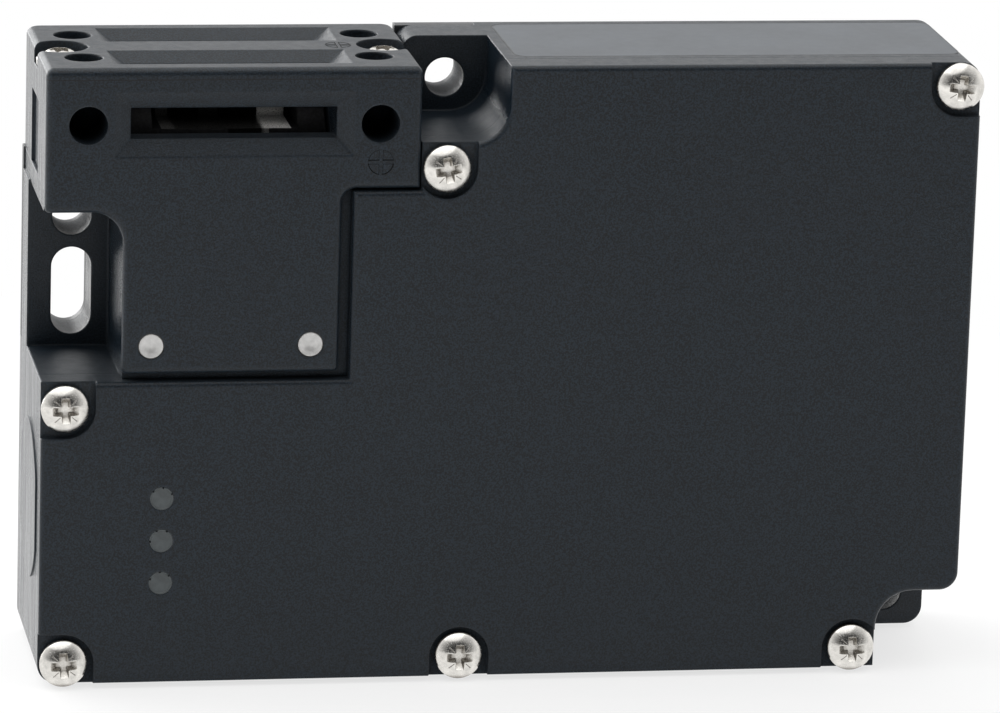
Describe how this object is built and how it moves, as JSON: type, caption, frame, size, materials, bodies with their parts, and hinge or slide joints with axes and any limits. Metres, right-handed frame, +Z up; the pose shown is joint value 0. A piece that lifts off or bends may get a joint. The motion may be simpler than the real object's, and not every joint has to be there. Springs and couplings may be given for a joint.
{
  "type": "tongue interlock switch",
  "caption": "Flat guard interlock with a slotted head for a separate tongue, a locking magnet, a screwed cover, indicator windows and ear holes.",
  "frame": {"origin": "middle of the rear mounting face of the 130 x 87 mm housing", "axes": "+X to the right seen from the front, +Y out of the rear mounting face, +Z up; the front cover faces -Y"},
  "size_m": [0.1305, 0.0313, 0.0873],
  "materials": {
    "housing_plastic": "matte",
    "plate_coating": "matte",
    "screw_nickel": "satin",
    "pin_metal": "matte",
    "driver_steel": "satin",
    "shaft_steel": "satin",
    "black_moulding": "matte",
    "contact_moulding": "matte",
    "contact_metal": "satin",
    "spring_steel": "satin",
    "seal_rubber": "matte",
    "magnet_iron": "satin",
    "coil_copper": "gloss",
    "board_green": "satin",
    "window_grey": "satin",
    "led_clear": "gloss",
    "terminal_grey": "matte",
    "label_grey": "satin"
  },
  "bodies": {
    "housing": {"base_housing": "housing_plastic", "front_cover": "housing_plastic", "cover_gasket": "seal_rubber", "cover_screws": "screw_nickel", "rear_plate": "plate_coating", "plate_screws": "screw_nickel", "label_plate": "label_grey", "head_housing": "housing_plastic", "head_screws": "screw_nickel", "head_pins": "pin_metal", "drum_axle": "shaft_steel", "fixed_contacts": "contact_metal", "contact_block": "contact_moulding", "plunger_spring": "spring_steel", "plunger_seal": "seal_rubber", "lock_seal": "seal_rubber", "lock_spring": "spring_steel", "pole_piece": "magnet_iron", "magnet_yoke": "magnet_iron", "magnet_bobbin": "black_moulding", "magnet_winding": "coil_copper", "indicator_lenses": "window_grey", "indicator_leds": "led_clear", "indicator_board": "board_green", "terminal_board": "board_green", "terminal_block": "terminal_grey", "terminal_clamps": "contact_metal", "terminal_screws": "screw_nickel", "module_screws": "screw_nickel"},
    "drum": {"actuator_drum": "black_moulding", "front_insert": "driver_steel", "rear_insert": "driver_steel"},
    "plunger": {"plunger_rod": "shaft_steel", "contact_carrier": "black_moulding", "contact_bridges": "contact_metal"},
    "lock": {"lock_rod": "shaft_steel", "armature": "magnet_iron"}
  },
  "joints": [
    {"name": "drum_turn", "type": "hinge", "parent": "housing", "child": "drum", "pos_m": [-0.03905, -0.015, 0.0282], "axis": [-1, 0, 0], "range_deg": [0, 50]},
    {"name": "plunger_slide", "type": "slide", "parent": "housing", "child": "plunger", "axis": [0, 0, -1], "range_m": [0, 0.003], "stiffness_N_per_m": 600, "springref_m": -0.002, "deforming": ["plunger_spring"]},
    {"name": "lock_slide", "type": "slide", "parent": "housing", "child": "lock", "axis": [-1, 0, 0], "range_m": [0, 0.0025], "deforming": ["lock_spring"]}
  ],
  "couplings": [
    {"joint": "drum_turn", "follows": "plunger_slide", "rad_per_m": 290.88},
    {"joint": "lock_slide", "follows": "plunger_slide", "ratio": 0.8333}
  ]
}
